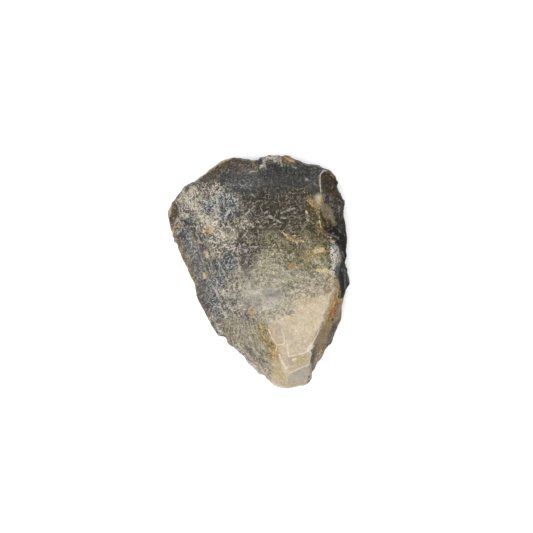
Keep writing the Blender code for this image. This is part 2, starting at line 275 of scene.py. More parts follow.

# Marks, each as its width and then its line. Most are in the stone, but the glints are painted highlights,
# and some white, black, dark, bar and sand strokes are painted light and shade.
STROKES = {
    "bar": (
        # The first bar stroke, along the top-left rim, is painted rim light.
        (6, -195, 324, 23, 19, 48, 32, 34, 12), (4, -300, 222, -4, -34), (5, 170, -367, 14, 5),
        (5, 68, -249, 11, 2), (15, 194, 67, 22, 6), (12, 200, 4, 5, 0), (11, 208, 0, 14, 0),
        (9, -175, 63, 3, -15), (9, -186, -7, 4, -15), (5.5, 98, 385, 5, -5), (5, 109, 378, 10, -4),
    ),
    # White: pale scar lines in the stone, and also painted glints.
    "white": (
        (5, -28, 337, 9, 3, 11, -1), (4.5, 19, 382, 4, -28), (5, 75, 382, 5, -24), (4, 119, 355, 9, -4),
        (8, 247, -69, 3, -9), (5, -146, 301, 1, -6), (5, -129, 286, 7, -4), (4, -281, 238, 11, -20, 4, -22),
        (8, -251, 196, 11, -8), (5, -272, 175, 8, -13), (4, -154, -58, 14, -11, 7, -21),
        (3.5, -150, -109, 19, -15, 4, -17), (9, -114, -141, 4, -15), (5, -58, -143, 3, -5),
        (6, 4, -319, 15, -19), (4, -35, -252, 3, -5), (3.5, -146, -210, 15, -10), (4, 78, 197, 44, 16),
        (5, 38, 187, 15, -12, 21, -9), (4, 23, 196, 8, 6), (5, 84, 179, 9, -1), (4, 50, 158, 11, 2),
        (3, -7, 177, 19, -28), (6, 160, 202, 4, -8), (5, 166, 176, 2, -3), (5, 205, 168, 1, -2),
        (6, 163, 312, 3, -2), (6, -95, 209, -11, -19), (7, -109, 187, -3, -9), (3.5, -87, 251, 19, -42),
        (3, -118, 244, 2, -27), (4, -152, 225, 15, -23), (4, -163, 263, 15, -27),
        (5, -251, 253, 21, -21, 8, -15, 13, -10, 12, -20, 19, -16), (4, -205, 232, 15, -23),
        (3.5, -228, 232, 19, -2), (5, -45, 190, 15, 14), (3.5, -53, 171, 17, -7), (3.5, -42, 179, 8, -27),
        (5, -23, 261, 8, -4), (6, -198, 103, 5, -8), (9, -42, 71, 1, -5), (6, -8, 83, 2, -2),
        (3.5, -173, 92, 25, -42, 19, -27, 23, -49, 11, -19), (5, -156, -49, 10, -17, 11, -25),
        (4, -133, -110, 15, -30), (5, -72, 46, 11, -46), (4, -161, 61, 9, -15), (6, -36, -66, 21, -8, 19, 2),
        (6, -19, -76, 15, 10, 19, 6), (5, 103, 50, 13, 9), (5, 92, 0, 13, -3, 15, 11), (8, 40, -121, 11, 0),
        (4, 51, 88, 8, 5), (4, -11, 80, 5, 4), (4, 127, 99, 4, -7), (4, 268, 68, 3, -18),
        (5, 253, -6, -2, -8, 4, -6), (6, 255, 45, 3, -10), (5, 251, 24, 11, 1), (5, 249, 9, 2, -6),
        (4, 258, 77, 8, 2), (4, 190, 39, 4, -9), (4, 196, 27, 5, 0), (5, 169, 102, 2, -5),
        (3, 184, 41, 2, -4), (5, 202, -283, 9, 8), (4, 207, -294, 10, 11), (4, 194, -302, 4, 8),
        (5, 257, 93, 7, -15), (6, 253, 55, 6, -19), (4, 249, 97, 8, -15), (5, 268, 67, 6, -12),
        (5, 255, 14, 4, 11),
    ),
    "border": (
        (4, 71, -280, 8, -25, 15, -25), (3, 94, -330, 8, 12), (4, 255, -56, -4, -6, -3, -8),
        (4, 244, -73, -2, -6), (4, 237, -86, 0, -12), (5, 232, -109, -4, -19, -6, -4),
        (5, 220, -137, -9, -7, 2, -8), (5, 217, -160, -2, -5), (4, 209, -173, -8, -32, -5, -10),
        (3.5, 196, -215, -14, -25), (6, 182, -240, -14, -19, -4, -8), (5, 168, -261, 9, -13, 1, -8),
        (2.8, 230, 341, -10, -1, -7, -9), (3, 210, 327, -1, -23, 2, -37), (5, 188, -250, -11, -8, -12, -11),
        (4.5, 165, -269, -22, -8, -40, -9), (4.5, 103, -286, -7, 34), (4, 78, -193, 8, -19, 3, -29),
        (4, 34, -195, 14, -33, 15, -19, 15, 2, 11, 4), (3.5, 109, -342, 30, 15, 31, 13, 7, 37),
        (2.5, 177, -311, 2, -31, -4, -22), (4, 48, -378, 22, -15, 31, -5, 30, 4, 31, 8),
        (7, 116, -298, 10, 4), (3, 72, -288, 25, -38), (3, 65, -249, -6, -17),
    ),
    "frost": (
        (9, -90, 292, 66, -4), (13, -136, 239, 2, -55), (20, -169, 233, 21, 16, 19, 12),
        (9, -141, 250, -2, -48), (6, -122, 254, 5, -10), (6, -100, 230, -5, -41),
    ),
    "mist": (
        (11, 187, 346, 3, -43, -23, -36), (18, -107, 293, 70, -7), (22, -208, 55, 26, -136),
        (16, -221, 184, -13, -26), (20, -45, -4, 17, -18), (18, 40, -73, 26, -8), (44, -97, 320, 86, -21),
        (18, -118, -98, 64, 4, 47, -13), (18, 94, 365, 25, -10),
    ),
    "pearl": (
        (16, 23, 14, 30, -6), (13, 13, 145, 20, -43), (12, 165, 114, 12, -24), (14, 132, -30, 11, -4),
        (12, -18, -214, 10, -8), (12, 50, -278, 4, -15), (20, 194, -45, 34, -15), (14, 108, -81, 35, -11),
        (16, 21, -137, 24, -9), (26, 31, 68, 60, -13), (20, 177, -47, 34, 4), (30, 151, 73, 60, -52),
        (16, 40, 141, 51, -51), (46, 126, -81, 59, 12, 69, 22), (24, 23, -158, 85, 42),
    ),
    "peat": (
        (28, 164, 205, 37, -43, 10, -42), (20, 160, 259, 15, -15, 6, -16), (9, 219, 146, 15, -28, 19, -22),
        (24, 177, 248, 13, -39, 25, -51), (8, 211, 174, 6, -16),
    ),
    "loam": (
        (12, 16, 184, 41, -53, 56, -17, 45, -48), (14, 221, 350, 7, -7), (40, 40, 218, 86, -17),
        (50, 6, 252, 85, -17, 69, 17), (22, -20, 132, 51, 17),
    ),
    "heather": (
        (8, -67, 336, 60, 0), (13, -58, 350, 51, -5), (8, 186, -272, -1, -32, 2, -18),
        (36, -50, -284, 43, -37, 38, -25),
    ),
    "blush": (
        (22, 170, -57, 50, -9), (13, 119, -86, 17, -1), (36, 110, -228, 23, -19, 27, 4),
        (20, 84, -277, 15, -15), (14, 129, -368, 31, -8),
    ),
    "sand": (
        # The third sand stroke, along the top-left rim, is painted rim light.
        (8, -273, 156, 9, 4), (8, -7, -317, 47, -41), (14, -199, 326, 24, 20, 19, 12),
        (10, 168, -364, 13, -4), (9, -300, 226, -3, -34), (8, 253, 167, 6, -6),
        (31, 59, -281, 4, -42, 17, -41), (18, 57, -368, 42, -19, 46, -2), (20, 133, -304, 19, 10, 15, 2),
    ),
    "honey": (
        (5, 168, 248, 19, -30), (4, 220, 137, 24, -35), (10, 244, -53, -3, -44),
        (30, 13, -186, 12, -26, 26, -69), (20, 6, -220, 11, -15), (29, 171, 54, 31, 11),
        (26, 247, -19, 19, -53), (18, 196, 218, 28, -51), (7, -296, 133, 34, -68, 27, -65, 22, -49),
        (21, 15, -201, 10, -23, 11, -30, 8, -34), (16, 0, -209, 12, -30),
    ),
    "blue": (
        (24, -244, 111, 26, -47), (26, -157, -43, 26, 17), (30, -157, -94, 22, -22, 4, -25),
        (32, -97, 248, 17, -30, -17, -43), (24, -268, 158, 17, -38), (44, -169, 217, 13, -2),
        (52, -97, 240, -5, -50), (46, -101, 46, 2, -27), (30, -146, -34, 21, -7), (24, -148, -95, 27, -49),
    ),
    # Painted glints: pale streaks that stand in for highlights, mostly on the right flank.
    "painted glints": (
        (4, 271, 142, 7, -10), (5, 236, 126, 30, -11, 6, -4), (8, 269, 113, 2, -2),
        (5, 284, 66, 5, -10, 3, -11), (4.5, 294, 5, 2, -63), (4, 284, 7, 2, -6), (5, 252, 129, 2, -1),
        (4, 234, 152, 1, -1), (2, 240, 120, 11, -13, 15, -4), (6, 222, 259, 2, -19), (7, 243, 249, 4, -5),
        (3.5, 274, 244, 11, -9), (9, 274, 219, 2, -15), (5, 205, 323, 3, -15, 1, -17, 3, -17),
        (5, 251, 228, 4, -9), (8, 164, 312, 2, -4), (7, 188, 297, 8, -4), (5, 264, -169, 4, -15),
        (4, 304, -14, 3, -23), (4, 245, -218, 9, -17),
    ),
    # Black: the stone's own black chips, and also painted shade along the right outline and in creases.
    "black": (
        (4.5, 220, 170, 7, -12), (5, 291, 99, 3, -53), (6, 270, 6, 8, -25), (7, 284, -72, 2, -16),
        (7, 300, 136, 3, -37, -6, -56), (11, 273, -13, 8, -28, 6, -31), (5, 176, -362, -2, -13),
        (13, 284, 100, 8, -29, 3, -33), (13, 264, 12, 13, -17, 7, -39), (12, 282, 124, 10, -25),
        (9, 269, 103, 8, -18, 1, -25), (6, -142, 281, 2, -3), (5, -144, -205, 13, -13, 17, -5),
        (4, -43, -295, 8, -13), (5, 173, -355, -4, -24), (3.5, 178, -259, 0, -82),
        (3.5, -254, 172, 12, -9, 15, -2), (4, -178, -137, 4, -21), (11, 275, 98, 2, -11, 6, -12),
        (5, 260, 93, 1, -3), (5, 300, 66, -1, -27), (7, 286, -22, 4, -36), (9, 274, 109, 7, -7, 6, -17),
        (5, 302, 130, 3, -32, -3, -15), (3, 283, 62, -2, -6), (9, 210, 198, 7, -19, 9, -11),
        (4, 208, 310, 2, -2), (5, 276, 236, 4, -3), (9, 284, -52, 2, -17), (6, 239, -254, 4, -1),
        (3, 262, -79, 2, -9), (4, 202, 297, 1, -4), (4, 272, 300, -4, -22, 19, -27),
    ),
    "crumbs": (
        (5, -152, 285, -1, -12, 9, -6, 12, 3, 4, 10, -7, 10, -11, 1, -6, -6), (6, 243, 108, 11, -13),
        (11, 255, -56, -5, -13, -7, -10, -13, -39, -6, -15, -12, -14, 4, -17), (10, 182, -240, -14, -19),
        (9, 250, -3, 4, -24, -4, -17), (10, 249, 62, 13, -15, -7, -23), (8, -64, -281, 49, -45, 30, -35),
    ),
    "gold": (
        (8, 237, -96, -11, -32), (5, 88, 389, 19, -3), (13, 246, -66, 5, -22, -1, -21),
        (6, 241, -124, -20, -54), (5, 61, -253, 13, 4), (11, 262, -64, -8, -30, -9, -24, -15, -30),
        (5, 246, -86, -2, -12), (6, 254, -105, -9, -16), (4, 255, -114, -8, -12), (8, 262, -100, 21, 2),
        (7, 99, 13, 19, 4), (4, 114, 4, 10, 4), (4, 167, 47, 12, 3, 11, 4), (6, 223, 70, 3, -2),
        (3.5, 247, 329, 7, -6), (5, 215, 249, 1, -11), (8, 175, 230, 6, -4),
        (8, 38, -201, 12, -30, 12, -23, -3, -31), (5, 244, -75, -3, -22), (4, 254, -72, -3, -25),
        (5, 114, -292, 15, 4), (8, -27, -135, 5, -3), (8, -175, 135, 10, 2),
    ),
    "yellow": (
        (3, 267, -60, 2, -19), (3, 254, -82, -2, -14), (3.5, 237, -139, -11, -15), (3.5, 239, -149, -11, -18),
        (3, 258, -105, -6, -17), (4.5, 206, 213, 0, -2), (4, 206, 199, 0, -2), (4, 206, 185, 0, -4),
        (5.5, 206, 171, 1, -5), (4, 207, 166, 5, -20), (2.5, 232, 121, 4, -8), (3.5, 268, -56, -2, -32),
        (5, 80, 133, 15, -13), (3.5, 98, 116, 8, -11), (3.5, 110, 112, 12, -16), (4.5, 118, 119, 6, 2),
        (5, 133, 104, 22, -5), (3.5, 126, 101, 8, -11), (5, -26, 158, 11, -8), (3.5, 57, 93, -7, -9),
        (11, 225, 5, 10, -6), (9, 199, 4, 6, 0), (5, 165, 173, 2, -1), (6, 161, 202, 2, -2),
        (4, 154, 268, 3, -2), (4, 214, -268, 2, -6), (5, 208, -278, 3, -3), (3, 53, -266, -3, -30),
    ),
    "milk": (
        (16, 27, -134, 37, 5), (15, -61, 158, 7, -13), (10, -23, 128, 7, -14), (10, -163, 192, 4, -21),
        (6, 66, -383, 42, -3), (12, -135, -51, 2, -9), (12, -81, -47, 3, -9), (15, -101, -111, 13, -13),
        (13, -161, -158, 39, -56), (14, -63, -261, 86, -81), (12, 40, 380, 43, -13), (8, 104, 149, 4, -8),
        (14, -174, 149, 22, -8), (12, -144, 261, 9, -77), (30, -234, 234, 37, -30, 49, -50),
        (26, -121, 131, 30, -7), (20, -247, 253, -15, -8), (9, -296, 149, 11, -12), (20, -232, 267, 16, 7),
        (9, -258, 189, 16, 0), (9, -158, 278, 17, 15, 13, -15), (18, -53, 177, 19, -19),
        (10, -49, 124, 15, -19), (13, -42, -296, 54, -46, 26, -26), (5, -271, 175, 7, -17),
        (22, -125, 124, 42, -4), (24, -121, -72, 30, -15, 38, -15),
    ),
    "plum": (
        (11, -232, 206, 10, -29), (9, -263, 208, 5, -7), (13, 35, 355, 35, -1), (7, -237, 180, 17, -10),
        (28, -204, -51, 13, -43, 22, -43, 25, -38, 22, -30), (24, -45, -269, 34, -39),
        (22, -187, 316, 35, -17), (24, -190, 316, 23, -6, 23, -2), (26, -220, 302, 26, -15, 27, -7),
        (22, -254, 220, 17, -18, 17, -13), (12, 217, 195, 10, -21), (34, -61, 86, 27, -23, 0, -38),
        (26, -38, 204, 50, -16, 11, -11), (24, -167, -102, 8, -31), (14, 131, 376, 23, -11, 23, -7, 28, -16),
        (18, -106, -262, 38, -34, 42, -34, 38, -34),
    ),
    "ochre": (
        (14, 238, -73, 4, -25), (12, 257, -73, 5, -21), (22, 84, 388, 32, -13), (20, -169, 135, 6, 4),
        (10, -286, 152, 10, 3), (8, -288, 141, 4, -15), (8, -18, 368, 10, -10), (18, -26, -135, 7, -5),
        (9, 63, -250, -3, -16, -3, -30), (9, 107, 19, 13, -5), (8, 179, 226, 7, -5), (12, -26, -138, 0, -2),
        (14, 99, 116, 42, -15), (9, 175, 244, 4, -19), (12, 243, -93, 10, 19),
    ),
    # Dark: partly the stone's own dark, partly painted shadow along scar borders and in creases.
    "dark": (
        (5, 266, -73, 7, -19), (9, -140, 282, 1, -2), (5, -256, 175, 19, -14, 21, 4),
        (20, -124, 158, 17, -14), (10, -105, 233, 4, -19), (12, -97, 179, 9, -19), (22, -112, 161, 7, -24),
        (6, -271, 233, 5, -31), (4, 259, -78, -3, -16), (10, 190, -247, -6, -45, -3, -38),
        (22, -53, 247, 15, -15), (22, 31, 363, 22, -5, 23, 5), (9, -194, 92, 12, -16), (10, -152, 46, 12, -8),
        (8, -243, 280, 6, 7), (20, 270, 202, 8, -31),
    ),
    "fissure": (
        (4, -23, -163, 16, -49, 13, -57), (3.5, -36, -174, 4, -27, 11, -38, 15, -38),
        (3, -51, -163, 7, -34, 8, -23), (3, -13, -167, 9, -26, 8, -31),
        (3, -70, -159, 11, -34, 19, -38, 8, -27), (3, -6, -182, 8, -30), (9, -116, -136, 8, -19),
        (3, 17, -250, 8, -19),
    ),
}

# Rings in a scar: where the flake was struck, how far apart they are, and the outline that they show in.
RINGS = (
    ("face", (160, 440, 200), 64, (-80, 340, 280, 0, 50, -260, -70, -300, -100, 0, -120, 160, -40, 180)),
    ("left", (-400, 140, 100), 56, (-300, 240, 200, -120, 120, -280, -140, -40, -140, 220)),
    ("foot", (-160, -340, 100), 34, (-140, -200, 120, 60, 50, -40, 26, -80, -10, -180, -246, 0)),
)

# Teeth of the thin edge: where each is, how wide, and how far it stands out. A notch's number is below 0.
TEETH = (
    (305, 100, 14, 4.5), (296, 232, 15, 3.3), (291, 198, 12, -3), (273, 303, 10, 9), (295, 175, 12, 2.7),
    (-7, 388, 9, 4), (-265, 280, 25, 3.2), (-287, 251, 16, 3.5), (-307, 174, 18, 5), (-302, 148, 16, 4),
    (-293, 120, 10, 4.5), (-286, 100, 12, 4.5), (-258, 40, 30, 3), (-233, -15, 20, 3), (-204, -104, 35, 3.2),
    (-156, -195, 22, 4.2), (-133, -221, 11, 8), (-103, -249, 16, 4.2), (-60, -282, 12, 2.5), (3, -349, 9, 4),
    (55, -387, 22, 4.8), (95, -398, 20, 3.5), (179, -368, 14, 8), (222, -284, 12, 3), (242, -255, 18, 11.5),
    (260, -214, 12, 3), (281, -165, 16, 3.3), (295, -79, 16, 4), (310, -25, 22, 5.5), (296, 26, 14, -5),
    (301, 50, 9, 3.5), (299, 142, 13, -3.5), (168, 369, 10, -2.5), (75, 397, 25, -3), (13, 393, 8, -2.5),
    (-25, 383, 9, -3), (-147, 365, 15, -3), (-185, 334, 15, -3.2), (-46, -296, 9, -3), (23, -358, 9, -5),
    (285, -117, 9, -2.5),
)

# Where the edge is worn smooth: a place, how far that reaches, and how wide its fading border is.
WORN = (225, -240, 56, 35)

# How far from its border a zone or a stroke is still told apart, in millimetres.
ZONE_REACH = 6.0
STROKE_REACH = 4.0


def millimetres(numbers):
    """A chart's numbers in millimetres."""
    return np.array(numbers) / 10


def places_of(line):
    """The places that a chart's line runs through, in millimetres."""
    return millimetres(np.cumsum(np.reshape(line, (-1, 2)), 0))


def away_from(points, start, end):
    """How far each point is from the straight line between two places, seen from above."""
    x, y = points[:, 0] - start[0], points[:, 1] - start[1]
    along = end - start
    share = np.clip((x * along[0] + y * along[1]) / max(along @ along, 1e-6), 0, 1)
    return np.hypot(x - share * along[0], y - share * along[1])


def reach_inside(points, outline):
    """How far each point is inside a chart's outline, and below 0 outside it."""
    starts = places_of(outline)
    inside = np.zeros(len(points), bool)
    nearest = np.full(len(points), np.inf)
    x, y = points[:, 0], points[:, 1]
    for start, end in zip(starts, np.roll(starts, -1, 0)):
        nearest = np.minimum(nearest, away_from(points, start, end))
        (ax, ay), (bx, by) = start, end
        crosses = (ay > y) != (by > y)
        span = np.where(crosses, by - ay, 1.0)
        inside ^= crosses & (x < ax + (y - ay) * (bx - ax) / span)
    return np.where(inside, nearest, -nearest)


def reach_of(points, strokes):
    """How far each point is inside the nearest of a chart's strokes, and below 0 outside them."""
    reach = np.full(len(points), -STROKE_REACH)
    for width, *line in strokes:
        starts = places_of(line)
        for start, end in zip(starts, starts[1:]):
            reach = np.maximum(reach, millimetres(width) / 2 - away_from(points, start, end))
    return reach


# ---------------------------------------------------------------- settings


class FlintStoneSettings(bpy.types.PropertyGroup):
    grain: bpy.props.FloatProperty(
        name="Surface Grain", description="Size of the surface's faces", default=0.343 * MM, unit="LENGTH"
    )
    ripple: bpy.props.FloatProperty(
        name="Ring Height", description="Height of the rings in the scars", default=0.14 * MM, unit="LENGTH"
    )
    nibble: bpy.props.FloatProperty(
        name="Edge Wear", description="Depth of small breaks along ridges", default=0.34 * MM, unit="LENGTH"
    )
    uneven: bpy.props.FloatProperty(
        name="Unevenness", description="Height of the unevenness all over", default=0.2 * MM, unit="LENGTH"
    )
    felt: bpy.props.FloatVectorProperty(
        name="Felt", description="The palest fibres", subtype="COLOR", size=4, default=rgb(236, 230, 213)
    )
    # The pale on sharp ridges: partly bruised flint, partly a painted highlight.
    crushed_and_highlit: bpy.props.FloatVectorProperty(
        name="Crushed Ridges And Highlights", description="Sharp ridges", subtype="COLOR", size=4, default=rgb(214, 208, 196)
    )
    rind: bpy.props.FloatVectorProperty(
        name="Rind", description="The chalky rind", subtype="COLOR", size=4, default=rgb(206, 196, 176)
    )
    rind_stain: bpy.props.FloatVectorProperty(
        name="Rind Stain", description="Blotches in the rind", subtype="COLOR", size=4,
        default=rgb(168, 140, 98),
    )


class FlintStageSettings(bpy.types.PropertyGroup):
    floor: bpy.props.FloatVectorProperty(
        name="Floor", description="The pale floor", subtype="COLOR", size=4, default=(0.97, 0.97, 0.97, 1)
    )
    key: bpy.props.FloatProperty(
        name="Key Light", description="Power of the soft light from the side", default=1.7, subtype="POWER"
    )
    overhead: bpy.props.FloatProperty(
        name="Overhead Light", description="Power of the large light overhead", default=10.5, subtype="POWER"
    )
    fill: bpy.props.FloatProperty(
        name="Fill Light", description="Strength of the light all round", default=0.6
    )
    lens: bpy.props.FloatProperty(
        name="Lens", description="Focal length of the camera", default=100, subtype="DISTANCE_CAMERA"
    )
    width: bpy.props.FloatProperty(
        name="View Width", description="Width of the view at the rim", default=182.3 * MM, unit="LENGTH"
    )


# ---------------------------------------------------------------- the stone's fine surface

# The height of the thin edge, and where the right flank begins, in millimetres.
EDGE_HEIGHT = 8.0
RIGHT_SIDE = 12.0

# The steps that a vertex group's weights are kept in, so that few calls are made.
WEIGHT_STEPS = 32

# How far apart the rings of Blender's own wood texture are, in its own units, at a noise scale of 0.5.
WOOD_RING = 0.314


def choose(piece):
    """Makes one object the selected, active one."""
    bpy.ops.object.select_all(action="DESELECT")
    piece.select_set(True)
    bpy.context.view_layer.objects.active = piece


def finish_with(piece, kind, **settings):
    """Adds a modifier with these settings and applies it."""
    made = piece.modifiers.new(kind.title(), kind)
    for name, value in settings.items():
        setattr(made, name, value)
    choose(piece)
    bpy.ops.object.modifier_apply(modifier=made.name)


def new_texture(name, kind, **settings):
    made = bpy.data.textures.new(name, kind)
    for setting, value in settings.items():
        setattr(made, setting, value)
    return made


def mesh_arrays(mesh):
    """A mesh's places in millimetres, its normals, and the pairs of points that its edges join."""
    places = np.empty(len(mesh.vertices) * 3, np.float32)
    normals = np.empty(len(mesh.vertices) * 3, np.float32)
    edges = np.empty(len(mesh.edges) * 2, np.int32)
    mesh.vertices.foreach_get("co", places)
    mesh.vertices.foreach_get("normal", normals)
    mesh.edges.foreach_get("vertices", edges)
    return places.reshape(-1, 3) / MM, normals.reshape(-1, 3), edges.reshape(-1, 2)


def climb(values, low, high):
    """0 below low and 1 above high, and evenly between them. It runs down if low is above high."""
    return np.clip((values - low) / (high - low), 0, 1)


def spread(values, edges, rounds):
    """Averages each point's value with its neighbours' a number of times."""
    count = np.bincount(edges.ravel(), minlength=len(values))
    for _ in range(rounds):
        total = np.bincount(edges[:, 0], values[edges[:, 1]], len(values))
        total += np.bincount(edges[:, 1], values[edges[:, 0]], len(values))
        values = (values + total) / (count + 1)
    return values


def bend(mesh, rounds):
    """How sharply the surface bends at each point: above 0 on ridges, below 0 in hollows, per millimetre."""
    places, normals, edges = mesh_arrays(mesh)
    step = places[edges[:, 1]] - places[edges[:, 0]]
    length = np.maximum((step**2).sum(1), 1e-6)
    turn = ((normals[edges[:, 1]] - normals[edges[:, 0]]) * step).sum(1) / length
    count = np.maximum(np.bincount(edges.ravel(), minlength=len(places)), 1)
    total = np.bincount(edges[:, 0], turn, len(places)) + np.bincount(edges[:, 1], turn, len(places))
    return spread(total / count, edges, rounds)


def weigh(piece, name, values):
    """Keeps the points' weights, from 0 to 1, as a vertex group."""
    group = piece.vertex_groups.new(name=name)
    steps = np.round(np.clip(values, 0, 1) * WEIGHT_STEPS).astype(int)
    for step in range(1, WEIGHT_STEPS + 1):
        points = np.nonzero(steps == step)[0]
        if len(points):
            group.add(points.tolist(), step / WEIGHT_STEPS, "REPLACE")


def write_attribute(mesh, name, values):
    made = mesh.attributes.new(name, "FLOAT", "POINT")
    made.data.foreach_set("value", np.asarray(values, np.float32))


class FLINT_OT_stone(bpy.types.Operator):
    """Make the flint's fine surface and its stone from the frame's solid"""

    bl_idname = "flint.stone"
    bl_label = "Flint Stone"

    def execute(self, context):
        settings = context.scene.flint_stone
        piece = self.copy_solid(context)
        finish_with(piece, "REMESH", mode="VOXEL", voxel_size=settings.grain)
        self.smooth(piece)
        self.tooth(piece)
        self.ring(context, piece, settings)
        self.wear(piece, settings)
        choose(piece)
        bpy.ops.object.shade_smooth()
        piece.vertex_groups.clear()
        self.mark(piece)
        piece.data.materials.clear()
        piece.data.materials.append(FlintShade(settings).material)
        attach(piece, "root")
        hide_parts("flint_nodule")
        return {"FINISHED"}

    def copy_solid(self, context):
        """A copy of the frame's solid with its points merged, which the frame no longer takes for its own."""
        piece = frame["nodes"]["flint_nodule"].copy()
        piece.data = piece.data.copy()
        piece.name = piece.data.name = "flint"
        piece.parent = None
        del piece["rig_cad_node"]
        context.scene.collection.objects.link(piece)
        choose(piece)
        bpy.ops.object.mode_set(mode="EDIT")
        bpy.ops.mesh.select_all(action="SELECT")
        bpy.ops.mesh.remove_doubles(threshold=0.01 * MM)
        bpy.ops.object.mode_set(mode="OBJECT")
        return piece

    def smooth(self, piece):
        """Rounds the edge where it is worn."""
        places, _, _ = mesh_arrays(piece.data)
        x, y, reach, fade = millimetres(WORN)
        away = np.hypot(places[:, 0] - x, places[:, 1] - y)
        weigh(piece, "worn", climb(away, reach, reach - fade))
        finish_with(piece, "SMOOTH", factor=0.5, iterations=40, vertex_group="worn")

    def tooth(self, piece):
        """Teeth and notches round the thin edge."""
        places, _, _ = mesh_arrays(piece.data)
        reach = np.zeros(len(places))
        for tooth in TEETH:
            x, y, width, height = millimetres(tooth)
            reach += height * np.exp(-((places[:, 0] - x) ** 2 + (places[:, 1] - y) ** 2) / width**2)
        for name, side in (("teeth", 1), ("notches", -1)):
            weigh(piece, name, reach * side)
            finish_with(piece, "DISPLACE", strength=side * MM, mid_level=0, vertex_group=name)

    def ring(self, context, piece, settings):
        """Fine rings across the big scars, centred on where each flake was struck."""
        places, _, _ = mesh_arrays(piece.data)
        for name, centre, spacing, outline in RINGS:
            above = climb(places[:, 2], EDGE_HEIGHT + 0.5, EDGE_HEIGHT + 2)
            weigh(piece, name, climb(reach_inside(places, outline), 0, 3) * above)
            rings = new_texture(
                name + " rings", "WOOD",
                wood_type="RINGNOISE", noise_basis_2="SIN", noise_scale=0.5, turbulence=3.0,
            )
            strike = bpy.data.objects.new(name + " strike", None)
            context.scene.collection.objects.link(strike)
            strike.location = Vector(centre) * TENTH
            strike.scale = [spacing * TENTH / WOOD_RING] * 3
            context.view_layer.update()
            finish_with(
                piece, "DISPLACE", texture=rings, texture_coords="OBJECT", texture_coords_object=strike,
                strength=settings.ripple, mid_level=0.5, vertex_group=name,
            )
            bpy.data.objects.remove(strike)

    def wear(self, piece, settings):
        """Chips on the steep right flank and round the edge, breaks along ridges, and a slight unevenness."""
        places, normals, edges = mesh_arrays(piece.data)
        height = places[:, 2]
        side = spread(normals[:, 0].astype(float), edges, 6)
        self.dent(piece, "chips", climb(side, 0.35, 0.55) * (places[:, 0] > RIGHT_SIDE), 5.2, 1.1, 0.35)
        slope = spread(normals[:, 2].astype(float), edges, 2)
        near_edge = climb(height, EDGE_HEIGHT + 3.5, EDGE_HEIGHT + 0.5) * climb(height, 5, 7)
        self.dent(piece, "nicks", near_edge * climb(slope, 0.1, 0.4), 2.9, 0.6, 0.2)
        self.dent(piece, "ridges", climb(bend(piece.data, 2), 0.12, 0.52), 1.5, settings.nibble / MM, 0.7)
        places, _, _ = mesh_arrays(piece.data)
        broken = np.maximum(reach_inside(places, ZONES["rust"]), reach_inside(places, ZONES["crush"]))
        self.dent(piece, "broken", climb(broken, 0, 0.8) * (places[:, 2] > EDGE_HEIGHT), 1.3, 0.5, 0.4)
        clouds = new_texture("uneven", "CLOUDS", noise_scale=1.6 * MM, noise_depth=3)
        finish_with(
            piece, "DISPLACE", texture=clouds, texture_coords="LOCAL", strength=settings.uneven, mid_level=0.5
        )

    def dent(self, piece, group, weights, size, depth, level):
        """Shallow bowls of about this size and depth that meet in sharp edges, in millimetres.

        The level is the share of a bowl's depth that the surface starts from.
        """
        weigh(piece, group, weights)
        bowls = new_texture(group, "VORONOI", noise_scale=size * MM, distance_metric="DISTANCE_SQUARED")
        finish_with(
            piece, "DISPLACE", texture=bowls, texture_coords="LOCAL",
            strength=depth * MM, mid_level=level, vertex_group=group,
        )

    def mark(self, piece):
        """Writes on the points where each kind of stone shows, and how the surface lies there."""
        places, normals, edges = mesh_arrays(piece.data)
        x, y, z = places.T
        hidden = normals[:, 2] < -0.1
        for name, outline in ZONES.items():
            reach = np.clip(reach_inside(places, outline), -ZONE_REACH, ZONE_REACH)
            if name not in THROUGH:
                reach[hidden] = -ZONE_REACH
            write_attribute(piece.data, name, reach)
        for name, strokes in STROKES.items():
            reach = reach_of(places, strokes)
            reach[hidden] = -STROKE_REACH
            write_attribute(piece.data, name + " strokes", reach)
        write_attribute(piece.data, "ridge", np.clip(bend(piece.data, 1), 0, 2))
        side = spread(normals[:, 0].astype(float), edges, 4)
        up = spread(normals[:, 2].astype(float), edges, 4)
        # Steep points facing right, where painted shade is laid over the stone's own dark.
        write_attribute(piece.data, "right side", climb(side, 0.30, 0.42) * (x > RIGHT_SIDE))
        low = climb(z, EDGE_HEIGHT + 1.4, EDGE_HEIGHT - 0.2)
        write_attribute(piece.data, "left edge", low * (x < 0) * (y > -20))
        patch = 1 - np.hypot(x / 21, (y - 3) / 27)
        write_attribute(piece.data, "rind", climb(patch, -1 / 3, 1 / 3) * (up < -0.3))


# ---------------------------------------------------------------- the stone's material

# Each kind of stone: how soft its border is in millimetres, its ground, its pale felt, the felt's share, how
# strongly grit and fibres show, and how rough it is.
KINDS = (
    ("slate", 1.4, (45, 45, 42), (108, 109, 104), 0.14, 0.46, 0.17, 0.38),
    ("olive", 2.0, (39, 33, 18), (128, 117, 82), 0.14, 0.74, 0.42, 0.36),
    ("gold", 2.2, (60, 51, 27), (172, 158, 108), 0.23, 0.76, 0.36, 0.38),
    ("brown", 1.6, (38, 29, 18), (134, 120, 91), 0.15, 0.84, 0.54, 0.38),
    ("ash", 4.0, (100, 92, 72), (208, 200, 176), 0.40, 0.74, 0.40, 0.48),
    ("haze", 3.5, (132, 124, 108), (224, 216, 198), 0.46, 0.58, 0.32, 0.52),
    ("cream", 1.8, (74, 67, 56), (212, 203, 184), 0.28, 1.00, 1.00, 0.58),
    ("foot", 1.6, (98, 89, 72), (196, 187, 166), 0.40, 0.68, 0.26, 0.45),
    ("band", 1.0, (52, 44, 33), (128, 115, 93), 0.32, 0.80, 0.10, 0.36),
    ("bloom", 0.7, (112, 108, 102), (212, 207, 198), 0.48, 1.30, 0.30, 0.60),
)
